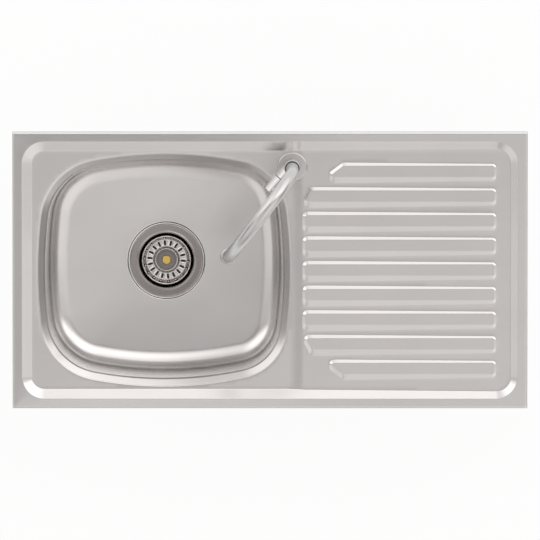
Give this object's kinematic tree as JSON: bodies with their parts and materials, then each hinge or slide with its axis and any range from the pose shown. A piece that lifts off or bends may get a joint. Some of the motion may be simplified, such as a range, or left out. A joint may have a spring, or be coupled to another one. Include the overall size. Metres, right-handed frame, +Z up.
{
  "type": "kitchen sink with drainboard and tap",
  "caption": "Rectangular steel kitchen sink with one rounded bowl, a ribbed drainboard on its right, a basket waste and a swan-neck single-lever tap.",
  "frame": {"origin": "middle of the plane in which the folded rim's return flange sits on its cabinet", "axes": "+X from the bowl towards the drainboard, +Y towards the tap side at the back, +Z up"},
  "size_m": [0.8, 0.43, 0.4977],
  "materials": {
    "sink_steel": "satin stainless steel",
    "strainer_steel": "polished stainless steel",
    "tap_chrome": "polished chrome plate",
    "galvanised_steel": "galvanised steel",
    "zinc_fixing": "zinc plated steel",
    "brass": "turned brass",
    "knob_plastic": "grey moulded plastic",
    "black_rubber": "black rubber",
    "sound_pad": "grey bitumen mat",
    "white_plastic": "white polypropylene",
    "black_plastic": "black acetal",
    "cartridge_plastic": "pale moulded plastic"
  },
  "bodies": {
    "sink": {"deck_panel": "sink_steel", "bowl": "sink_steel", "bowl_sound_pads": "sound_pad", "drainer_sound_pad": "sound_pad", "drainer_stiffener": "galvanised_steel", "retaining_clips": "galvanised_steel", "strainer_body": "strainer_steel", "flange_gasket": "black_rubber", "lower_gasket": "black_rubber", "waste_housing": "white_plastic", "waste_screw": "zinc_fixing", "tap_base_ring": "tap_chrome", "tap_base_gasket": "black_rubber", "tap_body": "tap_chrome", "clamp_rubber": "black_rubber", "clamp_plate": "galvanised_steel", "clamp_nut": "zinc_fixing", "mounting_stud": "zinc_fixing", "cartridge": "cartridge_plastic", "cartridge_seal": "black_rubber", "cartridge_nut": "brass", "glide_ring": "black_plastic"},
    "basket": {"basket": "strainer_steel", "basket_knob": "knob_plastic", "basket_pin": "brass", "basket_plug": "black_rubber", "plug_nut": "zinc_fixing"},
    "lever_turn": {"cartridge_carrier": "black_plastic", "tilt_pin": "zinc_fixing"},
    "lever": {"spindle": "brass", "handle_cap": "tap_chrome", "lever_pin": "tap_chrome", "grub_screw": "zinc_fixing"},
    "spout": {"spout_tube": "tap_chrome", "spout_spigot": "brass", "spout_o_rings": "black_rubber", "aerator_housing": "tap_chrome", "aerator_washer": "black_rubber", "aerator_insert": "cartridge_plastic"}
  },
  "joints": [
    {"name": "spout_swivel", "type": "hinge", "parent": "sink", "child": "spout", "pos_m": [0.0345, 0.1606, 0.0638], "axis": [0, 0, 1], "continuous": true},
    {"name": "lever_temperature", "type": "hinge", "parent": "sink", "child": "lever_turn", "pos_m": [0.0345, 0.1606, 0.0458], "axis": [-0.6494, -0.7604, 0], "range_deg": [-35, 35]},
    {"name": "lever_flow", "type": "hinge", "parent": "lever_turn", "child": "lever", "pos_m": [0.02021, 0.14387, 0.0458], "axis": [0.7604, -0.6494, 0], "range_deg": [0, 15]},
    {"name": "basket_lift", "type": "slide", "parent": "sink", "child": "basket", "axis": [0, 0, 1], "range_m": [0, 0.06]}
  ]
}
